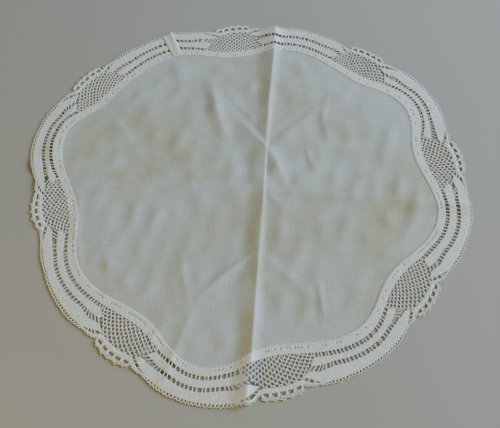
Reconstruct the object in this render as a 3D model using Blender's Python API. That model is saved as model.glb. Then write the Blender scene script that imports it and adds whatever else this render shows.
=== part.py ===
"""A round table doily lying on a surface: a linen centre inside a wide border of
bobbin lace. The lace strip is mounted on the linen's edge, and both follow the
folds that were pressed into the cloth when it was put away in quarters."""

import math
from collections import namedtuple

import bmesh
import bpy
from mathutils import Vector
from mathutils.geometry import delaunay_2d_cdt

MM = 0.001  # every size below is in millimetres, every mesh in metres

LINEN_THICKNESS = 1.0
LACE_THICKNESS = 1.2
SEAM_GAP = 0.35  # clearance between the linen and the lace mounted on it
SEAM_LAP = 4.5  # how far the linen's hem runs out under the lace
LACE_DOWN = 8.5  # the lace has come down off the hem this far from the seam
SEAM_STEPS = 16  # points along the seam in one repeat of the lace

# The lace is worked in eight repeats, clockwise from the back. In each, the seam
# dips in behind an oval of net and then swells out to a crown of close braid. The
# outer edge stands out at the net's arcade of loops, falls back on both sides of
# it and swells out again at the crown. The hand-laid border is uneven, so every
# repeat has angles (degrees, from +X towards +Y) and radii of its own.
Repeat = namedtuple(
    "Repeat",
    "motif_deg dip_deg dip_radius crown_deg crown_radius"
    " edge_before arcade_edge edge_after crown_edge",
)
REPEATS = (
    Repeat(95.3, 96.5, 190.5, 73.0, 209.0, 240.0, 246.0, 241.0, 248.3),
    Repeat(52.2, 51.0, 200.3, 32.5, 219.0, 244.0, 255.0, 249.5, 259.8),
    Repeat(9.3, 12.0, 196.5, -10.5, 214.0, 247.0, 252.8, 247.5, 253.2),
    Repeat(-36.0, -36.3, 188.3, -57.8, 208.0, 239.0, 244.0, 238.8, 249.5),
    Repeat(-81.8, -81.0, 195.0, -102.0, 222.5, 246.0, 253.0, 250.5, 260.8),
    Repeat(-123.8, -123.5, 195.3, -147.0, 209.5, 247.5, 251.8, 245.0, 248.7),
    Repeat(-170.2, -168.0, 193.2, -198.0, 225.5, 238.0, 244.5, 241.8, 261.8),
    Repeat(-216.2, -213.5, 207.3, -240.0, 213.3, 254.5, 259.0, 250.5, 252.0),
)
MM_PER_DEGREE = 220.0 * math.radians(1)  # distances along the lace are at this radius
JOIN_DEG, JOIN_CORNER, JOIN_REACH = 114.2, 4.0, 10.0  # the ends of the strip lap here

# Each oval departs from the plain pattern. Its foot and its head are pushed along the
# strip, its head is tilted, and its loops stand closer together or wider apart.
Bend = namedtuple("Bend", "foot head tilt loop_pitch")
BENDS = (
    Bend(-1.0, -2.0, 0.06, 7.9),
    Bend(0.0, -4.0, 0.17, 7.6),
    Bend(0.5, -2.0, 0.00, 8.0),
    Bend(0.5, 2.0, 0.00, 8.1),
    Bend(-1.8, -1.7, 0.09, 7.5),
    Bend(0.8, -1.5, -0.03, 7.9),
    Bend(3.5, 0.5, 0.04, 8.7),
    Bend(-2.3, 2.3, -0.07, 7.9),
)
FOOT_OUT, HEAD_OUT = 11.0, 46.0  # where the foot and the head lie, out from the seam
FOOT_FULL, FOOT_REACH, HEAD_FULL, HEAD_REACH = 39.0, 60.0, 22.0, 40.0  # and along it

# How much farther out the lace's edge lies than in the plain pattern, at these places
# along the strip from the middle of each oval.
RIM_PLACES = (-72, -54, -36, -24, -18, 0, 18, 24, 36, 54, 72)
RIMS = (
    (-1.7, -1.8, -3.2, -1.0, -1.2, -1.0, 1.0, -0.9, -4.0, -2.4, -1.0),
    (-1.4, -0.4, -0.9, 2.3, -0.9, -2.2, -1.3, -1.3, 2.0, 0.9, -1.5),
    (-1.3, -1.1, -2.3, 0.2, 0.4, 0.1, 1.8, 2.0, -1.2, -1.7, -0.4),
    (-2.0, -0.4, -0.7, 1.4, 0.1, 0.0, 1.2, 0.6, -2.9, -1.8, -2.0),
    (0.2, 1.2, -0.7, 1.6, 0.5, 0.0, 1.4, 3.3, 3.3, 2.0, 0.2),
    (0.0, 0.2, -1.5, -0.2, 1.1, 1.0, -0.1, 1.6, -0.4, 1.9, 0.1),
    (-3.3, -2.3, -2.2, 1.3, 0.7, 1.1, 0.3, -0.2, -4.0, -1.7, -0.5),
    (-1.8, -0.2, 0.0, 0.4, -0.1, -0.9, 0.3, 2.0, -0.8, 0.6, -1.8),
)
RIM_ROOT = 30.0  # only the outer band and the head of the oval follow the edge

# Nominal width of the lace at a distance along it from the middle of a motif.
Width = namedtuple("Width", "along width")
WIDTHS = (
    Width(0.0, 55.0),
    Width(19.5, 54.0),
    Width(27.0, 46.0),
    Width(40.0, 43.5),
    Width(55.0, 40.8),
    Width(70.0, 39.0),
    Width(120.0, 38.5),
)
ARCADE_END, BESIDE_ARCADE = WIDTHS[1].along, WIDTHS[2].along
EDGE_SHARES = (0.0, 0.1, 0.25, 0.4, 0.55, 0.7, 0.85)  # of the way to the crown

# The arcade of loops that edges each motif.
LOOPS_EACH_SIDE = 2
EDGE_STEPS_A_LOOP = 4
LOOP_STEPS = EDGE_STEPS_A_LOOP * LOOPS_EACH_SIDE + EDGE_STEPS_A_LOOP // 2
LOOP_TOP, LOOP_VALLEY = 55.2, 53.6
ARCADE_FALL = 0.0115  # times the square of the distance along, in millimetres
LOOP_HOLE_IN, LOOP_HOLE_OUT = 46.4, 50.4
LOOP_HOLE_WIDTH, LOOP_HOLE_TAPER, LOOP_PICOT = 4.6, 0.7, 1.0

# The oval of net, cut at twice the pitch of its mesh.
NET_HALF_WIDTH, NET_FOOT, NET_TIP, NET_TOP = 33.0, 11.0, 18.5, 40.5
NET_ROUNDNESS = 2.6  # its upper edge lies between an ellipse and a rectangle
NET_COLUMN, NET_PITCH = 6.8, 10.4
MESH_HALF_WIDTH, MESH_SIDE, MESH_TIP, MESH_OVERHANG = 2.4, 2.2, 4.2, 0.4
MESH_START = 15.6

# The ladder of bars between the middle and the outer braid, at twice its pitch.
LADDER_START = 37.5  # along the lace, from the middle of a motif
LADDER_PITCH, LADDER_WIDTH, LADDER_HEIGHT = 8.2, 5.4, 4.3
LADDER_CROWN, LADDER_NET = 23.5, 28.0  # distance from the seam at crown and net
LADDER_LEAN, LADDER_TURN = 2.6, 30.0  # the last bars lean towards the net
BRAID_MIDDLE, OUTER_BRAID_IN = 16.0, 26.0  # close braid of the crowns, from the seam

# Folds, each a line of stations. A ridge rises to its line. A valley lies down
# along its line and rises on both sides. Left and right are the two flank widths,
# seen along the line from its first station.
Station = namedtuple("Station", "x y rise left right")
RIDGES = {
    "spine": (
        Station(32, 256, 5.0, 18, 23),
        Station(28, 190, 5.8, 16, 20),
        Station(22, 110, 4.2, 11, 15),
        Station(19, 40, 3.2, 10, 17),
        Station(18, 0, 3.0, 10, 14),
        Station(14, -85, 4.2, 13, 17),
        Station(8, -200, 5.8, 14, 19),
        Station(2, -262, 5.4, 15, 20),
    ),
    "right arm": (
        Station(18, -8, 2.0, 12, 14),
        Station(110, -14, 2.6, 13, 15),
        Station(200, -22, 3.6, 15, 17),
        Station(256, -26, 4.2, 16, 18),
    ),
    "right wave": (
        Station(48, 54, 0.0, 20, 22),
        Station(110, 50, 1.6, 20, 22),
        Station(192, 50, 0.6, 20, 22),
    ),
    "back dart": (
        Station(-47, 146, 1.0, 22, 13),
        Station(-40, 108, 3.6, 26, 15),
        Station(-30, 70, 1.0, 22, 13),
    ),
    "small crescent": (
        Station(97, 132, 0.6, 9, 9),
        Station(88, 100, 1.6, 11, 11),
        Station(92, 64, 0.5, 9, 9),
    ),
    "centre pucker": (
        Station(28, 54, 1.0, 12, 12),
        Station(44, 38, 2.4, 14, 13),
        Station(60, 22, 0.8, 11, 11),
    ),
    "centre tuck": (
        Station(22, 16, 1.0, 9, 9),
        Station(38, 4, 1.8, 11, 11),
        Station(52, -14, 0.6, 9, 9),
    ),
    "small dent": (
        Station(73, 24, 0.6, 7, 7),
        Station(68, 46, 1.4, 8, 8),
    ),
    "front tuck left": (
        Station(12, -86, 2.0, 10, 9),
        Station(-22, -115, 2.6, 12, 9),
        Station(-50, -142, 0.8, 11, 9),
    ),
    "front tuck right": (
        Station(14, -88, 1.0, 10, 10),
        Station(76, -146, 0.8, 10, 10),
    ),
    "front dent": (
        Station(76, -124, 0.8, 9, 9),
        Station(78, -146, 2.4, 10, 10),
        Station(80, -164, 0.6, 9, 9),
    ),
    "left dimple": (
        Station(-160, 88, 0.5, 14, 14),
        Station(-142, 62, 1.6, 15, 15),
    ),
    "left stripe": (
        Station(-70, -94, 0.6, 10, 10),
        Station(-66, -120, 1.8, 11, 11),
        Station(-60, -146, 0.6, 10, 10),
    ),
    "left swell": (
        Station(-158, -74, 0.5, 12, 12),
        Station(-148, -104, 1.4, 14, 14),
    ),
    "hem wave inner": (
        Station(-56, -160, 0.6, 10, 10),
        Station(-72, -204, 2.0, 12, 12),
        Station(-80, -232, 1.2, 12, 12),
    ),
    "hem wave outer": (
        Station(-82, -168, 0.5, 9, 9),
        Station(-100, -198, 1.6, 10, 10),
        Station(-112, -220, 0.8, 10, 10),
    ),
    "left lobe": (
        Station(-226, -16, 0.5, 16, 22),
        Station(-232, 44, 2.6, 18, 28),
        Station(-212, 106, 0.8, 16, 24),
    ),
    "lace lap": (
        Station(-91, 192, 0.5, 5, 5),
        Station(-104, 229, 1.2, 6, 6),
    ),
    "hem roll": (
        Station(-188, -16, 0.6, 10, 10),
        Station(-188, -62, 1.6, 11, 11),
        Station(-178, -106, 0.6, 10, 10),
    ),
}
VALLEYS = {
    "left arm": (
        Station(10, 2, 1.6, 24, 24),
        Station(-110, 4, 2.0, 30, 28),
        Station(-262, 7, 2.6, 32, 30),
    ),
    "back crease": (
        Station(20, 58, 1.2, 14, 14),
        Station(-46, 144, 1.6, 16, 16),
    ),
    "back crease right": (
        Station(22, 60, 1.2, 17, 17),
        Station(96, 132, 1.0, 18, 18),
    ),
    "right hollow": (
        Station(24, -76, 1.0, 22, 22),
        Station(140, -74, 1.4, 24, 24),
    ),
}
SOFT_MAXIMUM = 3.0  # folds that cross don't add up: the higher one carries on
VALLEY_SWELL = 6.75  # makes the highest of x (1 - x) squared 1
FLANK_PARTS = (0.4, 1.0)

LINEN_GRID = 17.0  # spacing of points on flat linen
FOLD_STEP = 13.0  # spacing of points along a fold
CLOSEST_POINTS = 5.0


def mix(start, end, share):
    return start + (end - start) * share


def ease(share):
    """Runs from 0 to 1 with a level start and end."""
    return (1 - math.cos(math.pi * share)) / 2


# ---------------------------------------------------------------- plan of the border


def clockwise(degrees):
    """The same direction, as an angle in the turn that the repeats run through."""
    start = REPEATS[-1].crown_deg + 360
    return start - (start - degrees) % 360


def seam_radius(degrees):
    """Radius of the lace's inner edge in one direction."""
    last = REPEATS[-1]
    nodes = [(last.crown_deg + 360, last.crown_radius)]
    for repeat in REPEATS:
        nodes.append((repeat.dip_deg, repeat.dip_radius))
        nodes.append((repeat.crown_deg, repeat.crown_radius))
    place = clockwise(degrees)
    for near, far in zip(nodes, nodes[1:]):
        if place >= far[0]:
            return mix(near[1], far[1], ease((near[0] - place) / (near[0] - far[0])))
    return nodes[-1][1]


def degrees_at(index, along):
    return REPEATS[index].motif_deg - along / MM_PER_DEGREE


def to_next_motif(index):
    """How far along the lace the next motif is."""
    after = (index + 1) % len(REPEATS)
    turn = 360 if after == 0 else 0
    return (REPEATS[index].motif_deg - REPEATS[after].motif_deg + turn) * MM_PER_DEGREE


def crown_along(index, side):
    """How far along the lace a motif's crown is, before it (-1) or after it (1)."""
    motif = REPEATS[index].motif_deg
    if side > 0:
        return (motif - REPEATS[index].crown_deg) * MM_PER_DEGREE
    turn = 360 if index == 0 else 0
    return (motif - REPEATS[index - 1].crown_deg - turn) * MM_PER_DEGREE


def edge_radius(index, along):
    """Radius of the line that the lace's outer edge follows."""
    repeat, side = REPEATS[index], 1 if along >= 0 else -1
    place, crown = abs(along), abs(crown_along(index, side))
    beside = repeat.edge_after if side > 0 else repeat.edge_before
    crown_edge = repeat.crown_edge if side > 0 else REPEATS[index - 1].crown_edge
    if place <= ARCADE_END:
        return repeat.arcade_edge
    if place <= BESIDE_ARCADE:
        share = (place - ARCADE_END) / (BESIDE_ARCADE - ARCADE_END)
        return mix(repeat.arcade_edge, beside, share)
    share = min((place - BESIDE_ARCADE) / (crown - BESIDE_ARCADE), 1.0)
    radius = mix(beside, crown_edge, math.sin(math.pi / 2 * share))
    from_join = abs(clockwise(degrees_at(index, along)) - JOIN_DEG) * MM_PER_DEGREE
    return radius + JOIN_CORNER * max(0.0, 1 - from_join / JOIN_REACH)


def interpolate(nodes, place):
    """The value at a place between nodes, each a place and its value, in order."""
    for near, far in zip(nodes, nodes[1:]):
        if place <= far[0]:
            share = max(0.0, (place - near[0]) / (far[0] - near[0]))
            return mix(near[1], far[1], share)
    return nodes[-1][1]


def nominal_width(along):
    return interpolate(WIDTHS, abs(along))


def rim_change(index, along):
    """How much farther out the lace's edge lies than in the plain pattern."""
    before, after = (index - 1) % len(REPEATS), (index + 1) % len(REPEATS)
    nodes = [(RIM_PLACES[-1] - to_next_motif(before), RIMS[before][-1])]
    nodes += zip(RIM_PLACES, RIMS[index])
    nodes.append((RIM_PLACES[0] + to_next_motif(index), RIMS[after][0]))
    return interpolate(nodes, along)


def reach(along, full, end):
    """1 up to one distance from the middle of a motif and 0 beyond another."""
    return ease(min(max((end - abs(along)) / (end - full), 0.0), 1.0))


def on_lace(index, along, out):
    """Plan position of a point on the lace, along from the middle of a motif and
    out from the seam. The distance out is nominal and follows the local width."""
    bend = BENDS[index]
    height = min(max((out - FOOT_OUT) / (HEAD_OUT - FOOT_OUT), 0.0), 1.0)
    head = height * reach(along, HEAD_FULL, HEAD_REACH)
    foot = (1 - height) * reach(along, FOOT_FULL, FOOT_REACH)
    out += bend.tilt * along * head
    along += bend.head * head + bend.foot * foot
    degrees = degrees_at(index, along)
    seam = seam_radius(degrees)
    width = edge_radius(index, along) - seam
    radius = seam + out * width / nominal_width(along)
    outer = (out - RIM_ROOT) / (nominal_width(along) - RIM_ROOT)
    radius += rim_change(index, along) * max(0.0, outer)
    angle = math.radians(degrees)
    return Vector((radius * math.cos(angle), radius * math.sin(angle)))


def arcade_edge(index):
    """Edge of a motif's five loops, as places along and out from the seam."""
    edge = []
    for step in range(-LOOP_STEPS, LOOP_STEPS + 1):
        along = step / EDGE_STEPS_A_LOOP * BENDS[index].loop_pitch
        bulge = abs(math.cos(math.pi * step / EDGE_STEPS_A_LOOP))
        edge.append((along, mix(LOOP_VALLEY, LOOP_TOP, bulge) - ARCADE_FALL * along**2))
    return edge


def lace_edge():
    """The lace's scalloped outer edge, clockwise, as plan positions."""
    edge = []
    for index in range(len(REPEATS)):
        before, after = crown_along(index, -1), crown_along(index, 1)
        for share in (1.0, *reversed(EDGE_SHARES)):
            along = mix(-BESIDE_ARCADE, before, share)
            edge.append(on_lace(index, along, nominal_width(along)))
        edge += [on_lace(index, along, out) for along, out in arcade_edge(index)]
        for share in EDGE_SHARES:
            along = mix(BESIDE_ARCADE, after, share)
            edge.append(on_lace(index, along, nominal_width(along)))
    return edge


def seam_line(out):
    """A line at one true distance out from the seam, clockwise all round."""
    line = []
    for index in range(len(REPEATS)):
        before, after = crown_along(index, -1), crown_along(index, 1)
        for step in range(SEAM_STEPS):
            along = mix(before, after, step / SEAM_STEPS)
            degrees = degrees_at(index, along)
            radius = seam_radius(degrees) + out
            angle = math.radians(degrees)
            line.append(Vector((radius * math.cos(angle), radius * math.sin(angle))))
    return line


def seam_distance(point):
    """How far out from the seam a point lies, negative inside it."""
    return point.length - seam_radius(math.degrees(math.atan2(point.y, point.x)))


# ---------------------------------------------------------------- openings of the lace


def net_openings():
    """Six-sided meshes of one oval of net, in staggered columns."""
    columns = int(NET_HALF_WIDTH // NET_COLUMN)
    openings = []
    for column in range(-columns, columns + 1):
        along = column * NET_COLUMN
        share = abs(along) / NET_HALF_WIDTH
        foot = mix(NET_FOOT, NET_TIP, share**2)
        top = NET_TIP + (NET_TOP - NET_TIP) * (1 - share**NET_ROUNDNESS) ** (1 / NET_ROUNDNESS)
        out = MESH_START + (column % 2) * NET_PITCH / 2
        while out < top:
            lowest, highest = foot + MESH_TIP - MESH_OVERHANG, top - MESH_TIP + MESH_OVERHANG
            if lowest <= out <= highest:
                openings.append(
                    [
                        (along, out + MESH_TIP),
                        (along + MESH_HALF_WIDTH, out + MESH_SIDE),
                        (along + MESH_HALF_WIDTH, out - MESH_SIDE),
                        (along, out - MESH_TIP),
                        (along - MESH_HALF_WIDTH, out - MESH_SIDE),
                        (along - MESH_HALF_WIDTH, out + MESH_SIDE),
                    ]
                )
            out += NET_PITCH
    return openings


def arcade_openings(index):
    """The hole of each loop, notched by the picot of the trail behind it."""
    half = LOOP_HOLE_WIDTH / 2
    openings = []
    for loop in range(-LOOPS_EACH_SIDE, LOOPS_EACH_SIDE + 1):
        along = loop * BENDS[index].loop_pitch
        fall = ARCADE_FALL * along**2
        openings.append(
            [
                (along - half, LOOP_HOLE_IN - fall),
                (along, LOOP_HOLE_IN + LOOP_PICOT - fall),
                (along + half, LOOP_HOLE_IN - fall),
                (along + half * LOOP_HOLE_TAPER, LOOP_HOLE_OUT - fall),
                (along - half * LOOP_HOLE_TAPER, LOOP_HOLE_OUT - fall),
            ]
        )
    return openings


def ladder_places(index):
    """The middles of the slots from one motif round its crown to the next motif,
    each as the motif that it is measured from and the place along."""
    after = (index + 1) % len(REPEATS)
    to_crown, from_crown = crown_along(index, 1), -crown_along(after, -1)
    run = to_crown + from_crown - 2 * LADDER_START
    bars = round(run / LADDER_PITCH)
    places = []
    for bar in range(bars + 1):
        along = LADDER_START + run * bar / bars
        if along <= to_crown:
            places.append((index, along))
        else:
            places.append((after, along - to_crown - from_crown))
    return places


def ladder_openings(index):
    """Slots between the bars, upright at the crown and leaning at its ends."""
    openings = []
    for owner, along in ladder_places(index):
        near_net = max(0.0, 1 - (abs(along) - LADDER_START) / LADDER_TURN)
        side = 1 if along > 0 else -1
        out = mix(LADDER_CROWN, LADDER_NET, near_net)
        lean = side * LADDER_LEAN * near_net / 2
        half_width, half_height = LADDER_WIDTH / 2, LADDER_HEIGHT / 2
        middle = clockwise(degrees_at(owner, along))
        if abs(middle - JOIN_DEG) * MM_PER_DEGREE > LADDER_PITCH / 2:
            corners = [
                (along - half_width - lean, out + half_height),
                (along + half_width - lean, out + half_height),
                (along + half_width + lean, out - half_height),
                (along - half_width + lean, out - half_height),
            ]
            openings.append([on_lace(owner, *corner) for corner in corners])
    return openings


def lace_openings():
    """Every opening cut through the lace, as loops of plan positions."""
    openings = []
    for index in range(len(REPEATS)):
        for shape in net_openings() + arcade_openings(index):
            openings.append([on_lace(index, along, out) for along, out in shape])
        openings += ladder_openings(index)
    return openings


def braid_points():
    """Points that carry the folds through the close braid of the crowns."""
    points = []
    for index in range(len(REPEATS)):
        before, after = crown_along(index, -1), crown_along(index, 1)
        for share in (0.1, 0.4, 0.7, 1.0):
            for along in (mix(-NET_HALF_WIDTH, before, share), mix(NET_HALF_WIDTH, after, share)):
                outer_middle = mix(OUTER_BRAID_IN, nominal_width(along), 0.5)
                points.append(on_lace(index, along, BRAID_MIDDLE))
                points.append(on_lace(index, along, outer_middle))
    return points


# ---------------------------------------------------------------- folds


def across_fold(stations, point):
    """How far across a fold a point lies, 0 on its line and 1 at the foot of its
    flank, with the fold's rise beside it."""
    nearest = (math.inf, 0.0)
    for start, end in zip(stations, stations[1:]):
        run = Vector((end.x - start.x, end.y - start.y))
        offset = point - Vector((start.x, start.y))
        share = min(max(offset.dot(run) / run.length_squared, 0.0), 1.0)
        away = offset - run * share
        on_left = run.x * away.y - run.y * away.x > 0
        if on_left:
            flank = mix(start.left, end.left, share)
        else:
            flank = mix(start.right, end.right, share)
        across = away.length / flank
        if across < nearest[0]:
            nearest = (across, mix(start.rise, end.rise, share))
    return nearest


def rise_at(point):
    """Height of the cloth's underside above the surface it lies on."""
    total = 0.0
    for stations in RIDGES.values():
        across, rise = across_fold(stations, point)
        if across < 1:
            total += (rise * (1 - across) ** 2 * (1 + across)) ** SOFT_MAXIMUM
    for stations in VALLEYS.values():
        across, rise = across_fold(stations, point)
        if across < 1:
            total += (rise * VALLEY_SWELL * across * (1 - across) ** 2) ** SOFT_MAXIMUM
    return total ** (1 / SOFT_MAXIMUM)


def fold_points():
    """Points on the lines and flanks of every fold, the lines first."""
    lines, flanks = [], []
    for stations in list(RIDGES.values()) + list(VALLEYS.values()):
        for start, end in zip(stations, stations[1:]):
            run = Vector((end.x - start.x, end.y - start.y))
            left = Vector((-run.y, run.x)).normalized()
            steps = max(1, round(run.length / FOLD_STEP))
            for step in range(steps + 1):
                share = step / steps
                middle = Vector((start.x, start.y)) + run * share
                lines.append(middle)
                for part in FLANK_PARTS:
                    flanks.append(middle + left * mix(start.left, end.left, share) * part)
                    flanks.append(middle - left * mix(start.right, end.right, share) * part)
    return lines + flanks


def grid_points(reach, spacing):
    """Points of a plain square grid that covers a disc of the given reach."""
    count = int(reach // spacing)
    places = [number * spacing for number in range(-count, count + 1)]
    return [Vector((x, y)) for x in places for y in places]


def thinned(points, kept):
    """Adds the points that aren't too close to one already kept."""
    chosen = list(kept)
    added = []
    for point in points:
        if all((point - other).length >= CLOSEST_POINTS for other in chosen):
            chosen.append(point)
            added.append(point)
    return added


# ---------------------------------------------------------------- solids


def inside_loop(point, loop):
    """Whether a plan position lies inside a closed loop of positions."""
    crossings = 0
    for start, end in zip(loop, loop[1:] + loop[:1]):
        if (start.y > point.y) != (end.y > point.y):
            share = (point.y - start.y) / (end.y - start.y)
            crossings += point.x < mix(start.x, end.x, share)
    return crossings % 2 == 1


def anticlockwise(loop):
    """The same loop, in the direction that has its inside on the left."""
    ends = zip(loop, loop[1:] + loop[:1])
    doubled_area = sum(start.x * end.y - end.x * start.y for start, end in ends)
    return loop if doubled_area > 0 else loop[::-1]


def cut_cloth(outline, openings, inner_points, lapped_rows):
    """Triangles of a flat cloth: inside its outline, outside its openings. The
    rows are lines of points, laced together so that two cloths that lap share
    the same creases there."""
    points, edges, loops = [], [], []
    for loop in [outline] + openings:
        loops.append(list(range(len(points), len(points) + len(loop))))
        points += anticlockwise(loop)
    starts = []
    for row in lapped_rows:
        starts.append(len(points))
        points += row
    for start, row in zip(starts, lapped_rows):
        count = len(row)
        edges += [(start + step, start + (step + 1) % count) for step in range(count)]
    for inner, outer in zip(starts, starts[1:]):
        count = len(lapped_rows[0])
        for step in range(count):
            edges.append((inner + step, outer + step))
            edges.append((inner + step, outer + (step + 1) % count))
    points = points + inner_points
    cut = delaunay_2d_cdt(points, edges, loops, 0, 1e-4)
    corners, faces, sources = cut[0], cut[2], cut[5]
    return corners, [face for face, source in zip(faces, sources) if source == [0]]


def solid_cloth(name, cut, height, thickness, material):
    """Lifts a flat cut cloth to its height and gives it its thickness."""
    corners, faces = cut
    bm = bmesh.new()
    verts = [bm.verts.new((p.x * MM, p.y * MM, height(p) * MM)) for p in corners]
    for face in faces:
        bm.faces.new([verts[corner] for corner in face])
    loose = [vert for vert in bm.verts if not vert.link_faces]
    bmesh.ops.delete(bm, geom=loose, context="VERTS")
    top = bmesh.ops.extrude_face_region(bm, geom=bm.faces[:], use_keep_orig=True)
    raised = [item for item in top["geom"] if isinstance(item, bmesh.types.BMVert)]
    bmesh.ops.translate(bm, verts=raised, vec=(0, 0, thickness * MM))
    bmesh.ops.recalc_face_normals(bm, faces=bm.faces[:])
    mesh = bpy.data.meshes.new(name)
    bm.to_mesh(mesh)
    bm.free()
    mesh.materials.append(material)
    mesh.shade_smooth()
    mesh.set_sharp_from_angle(angle=math.radians(40))
    return bpy.data.objects.new(name, mesh)


def fibre_material(name, colour, roughness):
    material = bpy.data.materials.new(name)
    material.use_nodes = True
    shader = material.node_tree.nodes["Principled BSDF"]
    shader.inputs["Base Color"].default_value = (*colour, 1.0)
    shader.inputs["Roughness"].default_value = roughness
    shader.inputs["Metallic"].default_value = 0.0
    return material


def lace_height(point):
    """The lace lies on the linen's hem at the seam and comes down beyond it."""
    out = seam_distance(point)
    on_hem = LINEN_THICKNESS + SEAM_GAP
    down = min(max((out - SEAM_LAP) / (LACE_DOWN - SEAM_LAP), 0.0), 1.0)
    return rise_at(point) + on_hem * (1 - down)


def linen_centre():
    """The round linen panel, out to its hem under the lace."""
    seam, hem = seam_line(0.0), seam_line(SEAM_LAP)
    inside = [point for point in fold_points() if seam_distance(point) < -CLOSEST_POINTS]
    plain = grid_points(REPEATS[0].crown_edge, LINEN_GRID)
    inside += [point for point in plain if seam_distance(point) < -CLOSEST_POINTS]
    cut = cut_cloth(hem, [], thinned(inside, seam), [seam, hem])
    material = fibre_material("linen", (0.70, 0.71, 0.68), 0.9)
    return solid_cloth("linen_centre", cut, rise_at, LINEN_THICKNESS, material)


def lace_border():
    """The strip of bobbin lace, mounted on the linen's hem all round."""
    edge = lace_edge()
    seam, hem, down = (seam_line(out) for out in (0.0, SEAM_LAP, LACE_DOWN))
    cuts = lace_openings()
    corners = [corner for cut in cuts for corner in cut]
    beyond = [point for point in fold_points() if seam_distance(point) > LACE_DOWN + 1]
    within = [point for point in braid_points() + beyond if inside_loop(point, edge)]
    clear = [point for point in within if not any(inside_loop(point, cut) for cut in cuts)]
    inner = thinned(clear, corners + edge + down)
    cut = cut_cloth(edge, [seam] + cuts, inner, [seam, hem, down])
    material = fibre_material("lace", (0.78, 0.78, 0.73), 0.85)
    return solid_cloth("lace_border", cut, lace_height, LACE_THICKNESS, material)


def centre_in_plan(pieces):
    """Puts the origin under the middle of the whole doily."""
    places = [vert.co for piece in pieces for vert in piece.data.vertices]
    middle = [(min(p[axis] for p in places) + max(p[axis] for p in places)) / 2 for axis in (0, 1)]
    for piece in pieces:
        for vert in piece.data.vertices:
            vert.co.x -= middle[0]
            vert.co.y -= middle[1]


for old in list(bpy.data.objects):
    bpy.data.objects.remove(old, do_unlink=True)

doily = bpy.data.collections.new("lace_doily")
bpy.context.scene.collection.children.link(doily)
pieces = [linen_centre(), lace_border()]
for piece in pieces:
    doily.objects.link(piece)
centre_in_plan(pieces)
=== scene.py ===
import math
from collections import namedtuple

import bpy
import numpy as np
from mathutils import Matrix, Vector


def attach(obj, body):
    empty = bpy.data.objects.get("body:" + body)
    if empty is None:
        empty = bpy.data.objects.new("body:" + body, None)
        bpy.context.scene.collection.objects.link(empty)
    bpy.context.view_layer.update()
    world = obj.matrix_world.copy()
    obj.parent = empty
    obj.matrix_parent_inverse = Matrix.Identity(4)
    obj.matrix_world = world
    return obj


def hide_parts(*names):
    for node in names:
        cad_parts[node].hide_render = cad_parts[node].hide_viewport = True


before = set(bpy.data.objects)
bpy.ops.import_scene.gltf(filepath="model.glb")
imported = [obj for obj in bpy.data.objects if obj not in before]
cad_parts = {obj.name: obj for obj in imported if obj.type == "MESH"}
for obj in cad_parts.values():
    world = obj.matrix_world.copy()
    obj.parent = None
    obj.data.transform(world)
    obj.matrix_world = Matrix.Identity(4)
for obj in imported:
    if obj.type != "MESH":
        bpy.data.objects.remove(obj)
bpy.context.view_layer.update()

rng = np.random.default_rng(11)

# ==== Linen centre
# One round panel of plain-woven linen, cut to a wavy edge that runs out under the lace
# as its hem. It was put away folded in quarters, so two long creases cross it, and
# small tucks and dents lie around them.

MM = 0.001  # sizes are in millimetres, meshes in metres
PLAN_MIDDLE = (-1.293, -6.692)  # middle of the whole doily, in the plan of the tables
LINEN_UNDER, LINEN_THICKNESS = 0.15, 0.65
LINEN_STEP, FINE_AT_CREASE, SEAM_LAP = 2.0, 0.65, 4.5
CREST_ROUNDING = 0.5  # half the width over which a pressed crease turns
VALLEY_ROUNDING = 0.12  # share of a flank over which the line of a valley turns
VALLEY_PEAK = 27 / 4  # makes the highest value of x (1 - x) ** 2 equal 1
FULL_LEFT, FULL_RIGHT = -0.7, 1.0  # a crease drops on its left and swells on its right
GRID_SPARE, GRID_ROUNDS, CREASE_REACH = 1.15, 5, 9.0  # the grid is finer near a crease
LINEN_PLAIN, LINEN_AGED, LINEN_THREADS = (0.555, 0.57, 0.565), (0.48, 0.455, 0.315), 1500.0
SLUB, SLUB_RELIEF = (800.0, 70.0, 1.0), 0.8  # thick places in the threads, and their height

Repeat = namedtuple(
    "Repeat",
    "motif_deg dip_deg dip_radius crown_deg crown_radius"
    " edge_before arcade_edge edge_after crown_edge",
)
REPEATS = (
    (95.3, 96.5, 190.5, 73.0, 209.0, 240.0, 246.0, 241.0, 248.3),
    (52.2, 51.0, 200.3, 32.5, 219.0, 244.0, 255.0, 249.5, 259.8),
    (9.3, 12.0, 196.5, -10.5, 214.0, 247.0, 252.8, 247.5, 253.2),
    (-36.0, -36.3, 188.3, -57.8, 208.0, 239.0, 244.0, 238.8, 249.5),
    (-81.8, -81.0, 195.0, -102.0, 222.5, 246.0, 253.0, 250.5, 260.8),
    (-123.8, -123.5, 195.3, -147.0, 209.5, 247.5, 251.8, 245.0, 248.7),
    (-170.2, -168.0, 193.2, -198.0, 225.5, 238.0, 244.5, 241.8, 261.8),
    (-216.2, -213.5, 207.3, -240.0, 213.3, 254.5, 259.0, 250.5, 252.0),
)
REPEAT = Repeat(*np.transpose(REPEATS))  # by column, with a value for each repeat
JOIN_DEG = 114.2  # the two ends of the lace strip meet here

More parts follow.
